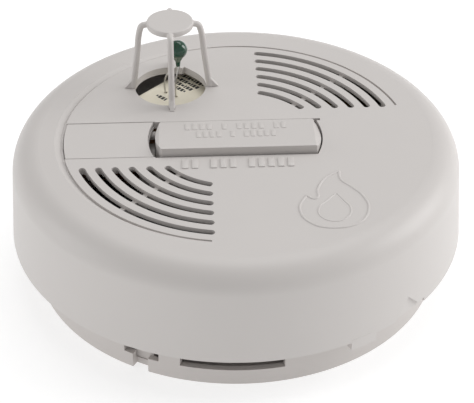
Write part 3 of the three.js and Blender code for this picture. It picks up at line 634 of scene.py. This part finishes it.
for low, high in PIN_ROOTS:
    weld(button, block("pin_root", (low, HINGE_Y - 2 * MM, HINGE_Z - 2 * MM),
                       (high, HINGE_Y + 0.8 * MM, HINGE_Z + 0.5 * MM)))
weld(button, upright("plunger_socket", SOCKET_RADIUS, SOCKET_LOW, TOP_Z + 0.4 * MM, 0, PLUNGER_Y, 48))
cut(button, upright("socket_bore", BORE_RADIUS, 45 * MM, BORE_TOP, 0, PLUNGER_Y, 32))
smooth(button)
fitted(button, "test_button", "white_moulding", white_plastic, "test_button")


BAR_SHARE = 0.66  # how much of the pitch a bar fills


def raised_bars(name, rows, height, rounding):
    """Rows of low rounded bars standing on a flat face at z = 0, in place of moulded wording."""
    bars = []
    for start, end, front, rear, groups, gap in rows:
        pitch = (end - start) / (sum(groups) + gap * (len(groups) - 1))
        x = start
        for group in groups:
            for _ in range(group):
                bars.append(block("bar", (x * MM, front * MM, -0.2 * MM),
                                  ((x + BAR_SHARE * pitch) * MM, rear * MM, height)))
                x += pitch
            x += gap * pitch
    made = joined(bars)
    made.name = made.data.name = name
    soften(made, rounding, 2)
    smooth(made)
    return made


button_bars = raised_bars("test_button_bars", (
    (-16.7, 17.8, 3.2, 7.5, (4, 1, 4, 2), 1.0), (-13.0, 14.0, -2.6, 1.7, (4, 1, 5), 1.0)), 0.2 * MM, 0.12 * MM)
button_bars.rotation_euler = (-BUTTON_SLOPE, 0, 0)
moved(button_bars, 0, 0, BUTTON_MIDDLE_Z)
fitted(button_bars, "test_button", "white_moulding", white_plastic)

# ---- Plunger and return spring ----
# A grey plastic pin pressed into the button's socket reaches down to the test switch. A small steel coil under
# its flange, seated on the cover's tray, lifts the button again.
SPRING_SEAT, SPRING_LOW, SPRING_HIGH = 36.9 * MM, 37.2 * MM, 44.25 * MM
SPRING_TURNS, TURN_STEPS, SPRING_RADIUS, SPRING_WIRE, SPRING_KEEP = 5, 12, 3.3 * MM, 0.25 * MM, 0.86
plunger = upright("plunger_pin", 1.7 * MM, 30.3 * MM, 45 * MM, 0, PLUNGER_Y, 40)
weld(plunger, upright("flange", 4 * MM, 44.8 * MM, 46 * MM, 0, PLUNGER_Y, 56),
     upright("plug", 1.5 * MM, 45.5 * MM, 47.5 * MM, 0, PLUNGER_Y, 40))
soften(plunger, 0.2 * MM, 2)
smooth(plunger)
fitted(plunger, "test_button", "grey_plastic", grey_plastic, "switch_plunger")
coil = []
for step in range(SPRING_TURNS * TURN_STEPS + 1):
    angle, rise = step * math.tau / TURN_STEPS, step / (SPRING_TURNS * TURN_STEPS)
    coil.append((SPRING_RADIUS * math.cos(angle), PLUNGER_Y + SPRING_RADIUS * math.sin(angle),
                 SPRING_LOW + (SPRING_HIGH - SPRING_LOW) * rise))
spring = rod("return_spring", coil, SPRING_WIRE)
smooth(spring)
fitted(spring, "head", "steel", steel, "button_spring")
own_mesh(spring)

# ---- Cover ----
# The head's cover is one thin off-white moulding: a drafted skirt, a large rounded shoulder and a flat top, cut
# by two fans of curved sound slots and by the openings for the test button, the strip and the thermistor.
RIM_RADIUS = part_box("cover")[1].x
RIM_Z, COVER_WALL, SHOULDER, TOP_DRAFT = 15.5 * MM, 2.6 * MM, 8.5 * MM, 2.0 * MM
UNDER_TOP = TOP_Z - COVER_WALL
ABOVE_TOP = TOP_Z + 1 * MM
SLOT_RADII = [(28.2 + 4.97 * i) * MM for i in range(6)]
SLOT_WIDTH, SLOT_END_X, SLOT_END_Y = 2.3 * MM, 9.57 * MM, 17 * MM
THIN_PATCH = (25.8 * MM, 55.8 * MM, 22, 84, UNDER_TOP - 1 * MM, TOP_Z - 1.5 * MM)
HOLE_X, HOLE_Y, HOLE_RADIUS = -21.2 * MM, 32.1 * MM, 12.2 * MM
CAGE_X, CAGE_Y, PEG_OUT, PEG_HOLE_RADIUS = -20.8 * MM, 32 * MM, 14.3 * MM, 1.05 * MM
OPENING_RADIUS, OPENING_REAR, OPENING_FRONT = 28.7 * MM, 9.9 * MM, -11.1 * MM
PIN_NOTCH_X, PIN_NOTCH_Y = (26 * MM, 28.6 * MM), 8.7 * MM
STRIP_RADIUS, STRIP_REAR, STRIP_FRONT, STRIP_THICKNESS = 56.7 * MM, 9.9 * MM, -10.4 * MM, 1.6 * MM
SEAM = 0.3 * MM
GROOVE = (57.0 * MM, 57.8 * MM, 17, 260.5, TOP_Z - 0.9 * MM, ABOVE_TOP)
CRESCENT_RADIUS, CRESCENT_WIDTH, CRESCENT_DEPTH = 57.5 * MM, 2.5 * MM, 0.95 * MM
CRESCENT_X, CRESCENT_Y, PLAIN_SIDE = -2.3 * MM, 0.6 * MM, (40 * MM, 90 * MM, -99.5, 17)
LUG = (-63.7, -56.5, RIM_Z - 3 * MM, RIM_Z + 1 * MM)
RIM_NOTCH = (-41.2, -39.2, RIM_Z - 1 * MM, RIM_Z + 1.4 * MM)
ARROW_AZIMUTH, ARROW_HALF_WIDTH, ARROW_HEIGHT, ARROW_DEPTH = -45.6, 6.4 * MM, 6.5 * MM, 1.15 * MM
TRAY_BOTTOM, TRAY_TOP, TRAY_REACH, TRAY_FRONT, TRAY_REAR = 35 * MM, 36.6 * MM, 31.9 * MM, -12.5 * MM, 11.5 * MM
CRADLE_THICK, LEDGE_THICK, LEDGE_TOP, LEDGE_X = 3 * MM, 2.2 * MM, 40.5 * MM, (-29.1 * MM, 26.9 * MM)
RIB_HALF, BORE_CLEARANCE = 0.8 * MM, 0.3 * MM
BOSS_AZIMUTHS, BOSS_OUT, BOSS_RADIUS, SCREW_HOLE_RADIUS = (9.5, 80.5, 189.5, 260.5), 62 * MM, 3.5 * MM, 1.6 * MM


def sound_slot(radius, turn):
    """One curved slot with round ends, through the flat top."""
    half = SLOT_WIDTH / 2
    start = math.asin(SLOT_END_Y / radius) - half / radius
    end = math.acos(SLOT_END_X / radius) + half / radius
    tool = ring_part("sound_slot", radius - half, radius + half, math.degrees(start), math.degrees(end),
                     UNDER_TOP - 1 * MM, ABOVE_TOP)

    def at_end(edge):
        low, high = (vert.co for vert in edge.verts)
        around = math.atan2(low.y, low.x)
        return abs(low.z - high.z) > 1 * MM and min(abs(around - start), abs(around - end)) < 0.001

    opened(tool, "EDGE", at_end)
    bpy.ops.mesh.bevel(offset=0.97 * half, segments=7)
    closed()
    return turned(tool, turn)


def strip_plate(name, inner, outer, front, rear, low, high):
    """A plate on the -X side whose two ends follow circles round the axis."""
    plate = upright(name, outer, low, high, sides=256)
    trim(plate, block("band", (-80 * MM, front, low - 1 * MM), (-20 * MM, rear, high + 1 * MM)))
    return cut(plate, upright("inner_end", inner, low - 1 * MM, high + 1 * MM, sides=160))


cover = upright("cover_shell", RIM_RADIUS, RIM_Z, TOP_Z, sides=288)
opened(cover, "FACE", lambda face: face.normal.z > 0.9)
shrink = 1 - TOP_DRAFT / RIM_RADIUS
bpy.ops.transform.resize(value=(shrink, shrink, 1), center_override=(0, 0, TOP_Z))
closed()
opened(cover, "EDGE", lambda edge: middle(edge).z > TOP_Z - 0.01 * MM)
bpy.ops.mesh.bevel(offset=SHOULDER, segments=18)
closed()
opened(cover, "FACE", lambda face: face.normal.z < -0.9)
bpy.ops.mesh.delete(type="FACE")
closed()
only(cover)
thickness = cover.modifiers.new("wall", "SOLIDIFY")
thickness.thickness, thickness.offset, thickness.use_even_offset = COVER_WALL, -1, True
bpy.ops.object.modifier_apply(modifier=thickness.name)

cut(cover, joined([sound_slot(radius, turn) for turn in (0, math.pi) for radius in SLOT_RADII]),
    *[turned(ring_part("thin_patch", *THIN_PATCH, 40), turn) for turn in (0, math.pi)])
hole = upright("sensor_hole", HOLE_RADIUS, UNDER_TOP - 1 * MM, ABOVE_TOP, sides=160)
weld(hole, turned(block("hole_corner", (0, -12.3 * MM, UNDER_TOP - 1 * MM), (5.2 * MM, -6 * MM, ABOVE_TOP)),
                  3 * DIAGONAL))
cut(cover, moved(hole, HOLE_X, HOLE_Y))
peg_holes = [moved(turned(upright("peg_hole", PEG_HOLE_RADIUS, UNDER_TOP - 1 * MM, ABOVE_TOP, PEG_OUT, 0, 32),
                          quarter * math.pi / 2), CAGE_X, CAGE_Y) for quarter in range(4)]
cut(cover, joined(peg_holes))
opening = upright("button_opening", OPENING_RADIUS, UNDER_TOP - 1 * MM, ABOVE_TOP, sides=180)
trim(opening, block("band", (-40 * MM, OPENING_FRONT, 0), (40 * MM, OPENING_REAR, 80 * MM)))
weld(opening, block("pin_notch", (PIN_NOTCH_X[0], PIN_NOTCH_Y, UNDER_TOP - 1 * MM),
                    (PIN_NOTCH_X[1], OPENING_REAR, ABOVE_TOP)))
cut(cover, opening)
lug = ring_part("skirt_lug", RIM_RADIUS - COVER_WALL, RIM_RADIUS - 0.02 * MM, *LUG, 8)
arrow = block("arrow", (-ARROW_HALF_WIDTH, -RIM_RADIUS - 5 * MM, RIM_Z),
              (ARROW_HALF_WIDTH, ARROW_DEPTH - RIM_RADIUS, RIM_Z + ARROW_HEIGHT))
opened(arrow, "VERT", lambda vert: vert.co.z > RIM_Z + 1 * MM)
bpy.ops.transform.resize(value=(0, 1, 1), center_override=(0, 0, 0))
bpy.ops.mesh.select_all(action="SELECT")
bpy.ops.mesh.remove_doubles(threshold=0.001 * MM)
bpy.ops.mesh.normals_make_consistent(inside=False)
bpy.ops.transform.resize(value=(1.3, 1, 1.3), center_override=(0, 0, RIM_Z + ARROW_HEIGHT))
closed()
cut(cover, turned(arrow, math.radians(ARROW_AZIMUTH + 90)),
    ring_part("rim_notch", RIM_RADIUS - COVER_WALL - 1 * MM, RIM_RADIUS + 1 * MM, *RIM_NOTCH, 3))
weld(cover, lug)
soften(cover, 0.4 * MM, 3, lambda edge: middle(edge).z > TOP_Z - 0.01 * MM)
soften(cover, 0.2 * MM, 2, lambda edge: middle(edge).z < TOP_Z - 5 * MM)

wide_radius = CRESCENT_RADIUS + CRESCENT_WIDTH * (ABOVE_TOP - TOP_Z) / CRESCENT_DEPTH
crescent = upright("crescent", wide_radius, TOP_Z - CRESCENT_DEPTH, ABOVE_TOP, CRESCENT_X, CRESCENT_Y, 288)
opened(crescent, "FACE", lambda face: face.normal.z < -0.9)
narrow = (CRESCENT_RADIUS - CRESCENT_WIDTH) / wide_radius
bpy.ops.transform.resize(value=(narrow, narrow, 1), center_override=(CRESCENT_X, CRESCENT_Y, 0))
closed()
cut(crescent, upright("plateau", STRIP_RADIUS + 0.3 * MM, TOP_Z - 5 * MM, TOP_Z + 5 * MM, sides=288),
    ring_part("plain_side", *PLAIN_SIDE, TOP_Z - 5 * MM, TOP_Z + 5 * MM))
cut(cover, crescent, ring_part("groove", *GROOVE, 120))
seat = strip_plate("strip_seat", OPENING_RADIUS - 0.2 * MM, STRIP_RADIUS + SEAM, STRIP_FRONT - SEAM,
                   STRIP_REAR + SEAM, TOP_Z - STRIP_THICKNESS - SEAM, ABOVE_TOP)
weld(cover, block("strip_pad", (-59 * MM, -12.2 * MM, 44 * MM), (-28.9 * MM, 11.5 * MM, UNDER_TOP + SEAM)))
cut(cover, seat)
soften(cover, 0.12 * MM, 2, lambda edge: middle(edge).z > TOP_Z - 0.01 * MM)

ribs = [turned(block("slot_rib", (24 * MM, -RIB_HALF, 42 * MM), (55.2 * MM, RIB_HALF, TOP_Z - 1.4 * MM)), turn)
        for turn in (DIAGONAL, DIAGONAL + math.pi)]
cradles = [block("button_cradle", (x, TRAY_FRONT, TRAY_BOTTOM), (x + CRADLE_THICK, TRAY_REAR, UNDER_TOP + SEAM))
           for x in (-TRAY_REACH, TRAY_REACH - CRADLE_THICK)]
tray = block("button_tray", (-TRAY_REACH, TRAY_FRONT, TRAY_BOTTOM), (TRAY_REACH, TRAY_REAR, TRAY_TOP))
bosses = [turned(upright("boss", BOSS_RADIUS, 18.3 * MM, UNDER_TOP + SEAM, BOSS_OUT, 0, 32),
                 math.radians(around)) for around in BOSS_AZIMUTHS]
ledges = [block("gap_ledge", (x, -6 * MM, TRAY_BOTTOM + 0.5 * MM), (x + LEDGE_THICK, 9 * MM, LEDGE_TOP))
          for x in LEDGE_X]
weld(tray, *cradles, *ledges)
weld(cover, *ribs, tray, *bosses)
bore = upright("pin_bore", PIN_RADIUS + BORE_CLEARANCE, -35 * MM, 35 * MM, sides=32)
bore.rotation_euler = (0, math.pi / 2, 0)
plunger_slot = block("plunger_slot", (-2 * MM, -4 * MM, TRAY_BOTTOM - 1 * MM),
                     (2 * MM, 1.1 * MM, TRAY_TOP + 1 * MM))
round_uprights(plunger_slot, 1.95 * MM)
cut(cover, moved(settle(bore), 0, HINGE_Y, HINGE_Z),
    plunger_slot,
    joined([turned(upright("screw_hole", SCREW_HOLE_RADIUS, 15 * MM, 28 * MM, BOSS_OUT, 0, 20),
                   math.radians(around)) for around in BOSS_AZIMUTHS]))
evened(cover)
fitted(cover, "head", "white_moulding", white_plastic, "cover")

# ---- Blanking strip ----
# A flat white plate let into the cover beside the button, flush with it inside a fine seam.
strip = strip_plate("blanking_plate", OPENING_RADIUS + SEAM, STRIP_RADIUS, STRIP_FRONT, STRIP_REAR,
                    TOP_Z - STRIP_THICKNESS, TOP_Z)
soften(strip, 0.14 * MM, 2)
smooth(strip)
fitted(strip, "head", "white_moulding", white_plastic, "blanking_strip")

# ---- Raised marks on the cover ----
# Low rounded bars stand where the cover has moulded wording, and a flame drawn by two thin raised lines shows
# that the alarm senses heat. Both are part of the cover's moulding.
cover_bars = raised_bars("cover_bars", ((-18.0, 19.4, -17.9, -12.9, (2, 3, 5), 0.9),), 0.4 * MM, 0.2 * MM)
moved(cover_bars, 0, 0, TOP_Z)
fitted(cover_bars, "head", "white_moulding", white_plastic)
OUTER_FLAME = (
    (0, -15), (7.5, -12.5), (11, -5.5), (9.8, 1.5), (6.6, 6.6), (3.6, 10.6), (3.4, 15.5), (-1.6, 11.2),
    (-4.2, 5.6), (-5.2, 0.6), (-8.0, 2.4), (-10.6, -4.5), (-7.5, -12.3))
INNER_FLAME = (
    (0.2, -11.6), (4.2, -9.4), (5.4, -5.0), (3.6, -0.6), (1.6, 3.4), (-1.6, -0.4), (-4.6, -4.6), (-4.2, -9.0))
flame = joined([
    rod("cover_flame", [(x * MM, y * MM, 0) for x, y in OUTER_FLAME], 0.55 * MM, True, (6, 10)),
    rod("inner_flame", [(x * MM, y * MM, 0) for x, y in INNER_FLAME], 0.45 * MM, True, (4,))])
moved(flame, 29 * MM, -36.5 * MM, TOP_Z - 0.25 * MM)
smooth(flame)
fitted(flame, "head", "white_moulding", white_plastic)

# ---- Sensor cage ----
# A white guard over the thermistor: a thick round disc on four bent legs, moulded in one. Each leg ends in a
# flared foot with a peg that is pressed into the cover.
CAGE_TOP, DISC_RADIUS, DISC_THICK, LEG_RADIUS, PEG_RADIUS = 74.45 * MM, 7.85 * MM, 2.1 * MM, 1.08 * MM, 0.9 * MM
LEG_PATH = ((5.5, 73.2), (8.2, 73.2), (9.5, 72.75), (10.15, 71.4), (11.5, 61), (12.9, 49.7))
CAGE_SEAT = TOP_Z + 0.04 * MM
skin_parts = [upright("guard_cage", DISC_RADIUS, CAGE_TOP - DISC_THICK, CAGE_TOP, sides=96)]
soften(skin_parts[0], 0.35 * MM, 2)
for quarter in range(4):
    leg = rod("leg", [(r * MM, 0, z * MM) for r, z in LEG_PATH], LEG_RADIUS)
    fin = block("toe", (12.6 * MM, -0.8 * MM, CAGE_SEAT), (16.2 * MM, 0.8 * MM, CAGE_SEAT + 3.4 * MM))
    opened(fin, "VERT", lambda vert: vert.co.x > 16 * MM and vert.co.z > CAGE_SEAT + 1 * MM)
    bpy.ops.transform.translate(value=(-2.9 * MM, 0, 0))
    closed()
    foot = cone("foot", 1.2 * MM, 1.0 * MM, CAGE_SEAT, 51 * MM, 13 * MM, 0)
    peg = upright("peg", PEG_RADIUS, UNDER_TOP, CAGE_SEAT + 0.5 * MM, PEG_OUT, 0, 40)
    skin_parts += [turned(part, quarter * math.pi / 2) for part in (leg, fin, foot, peg)]
cage = moved(melted(joined(skin_parts), 0.2 * MM, 4), CAGE_X, CAGE_Y)
fitted(cage, "head", "white_moulding", white_plastic, "sensor_cage")

# ---- Floor and light ----
# A pale seamless floor just under the base, three soft round lights over and beside it, and a white room.
bpy.ops.object.select_all(action="DESELECT")
bpy.ops.mesh.primitive_plane_add(size=6, location=(0, 0, -0.2 * MM))
floor = bpy.context.object
floor.name = "floor"
pale = Surface("floor_paint")
paint(floor, pale.done(
    Base_Color=pale.blend(pale.noise(0.4), (0.48, 0.48, 0.48), (0.52, 0.52, 0.52)),
    Roughness=0.9, Emission_Color=(1, 1, 1, 1), Emission_Strength=0.64))


def soft_light(name, place, size, power):
    bpy.ops.object.light_add(type="AREA", location=place)
    light = bpy.context.object
    light.name = name
    light.data.shape = "DISK"
    light.data.size = size
    light.data.energy = power
    light.rotation_euler = (Vector((0, 0, 0.03)) - Vector(place)).to_track_quat("-Z", "Y").to_euler()


soft_light("right_bank", (1.2, 0.15, 0.6), 0.9, 8.2)
soft_light("overhead_bank", (0.15, 0.45, 1.38), 1.3, 7.1)
soft_light("left_bank", (-1.3, -0.05, 0.35), 0.9, 3.6)
world = bpy.data.worlds.new("studio")
bpy.context.scene.world = world
world.use_nodes = True
world.node_tree.nodes["Background"].inputs["Color"].default_value = (1, 1, 1, 1)
world.node_tree.nodes["Background"].inputs["Strength"].default_value = 0.45
bpy.context.scene.view_settings.view_transform = "Standard"
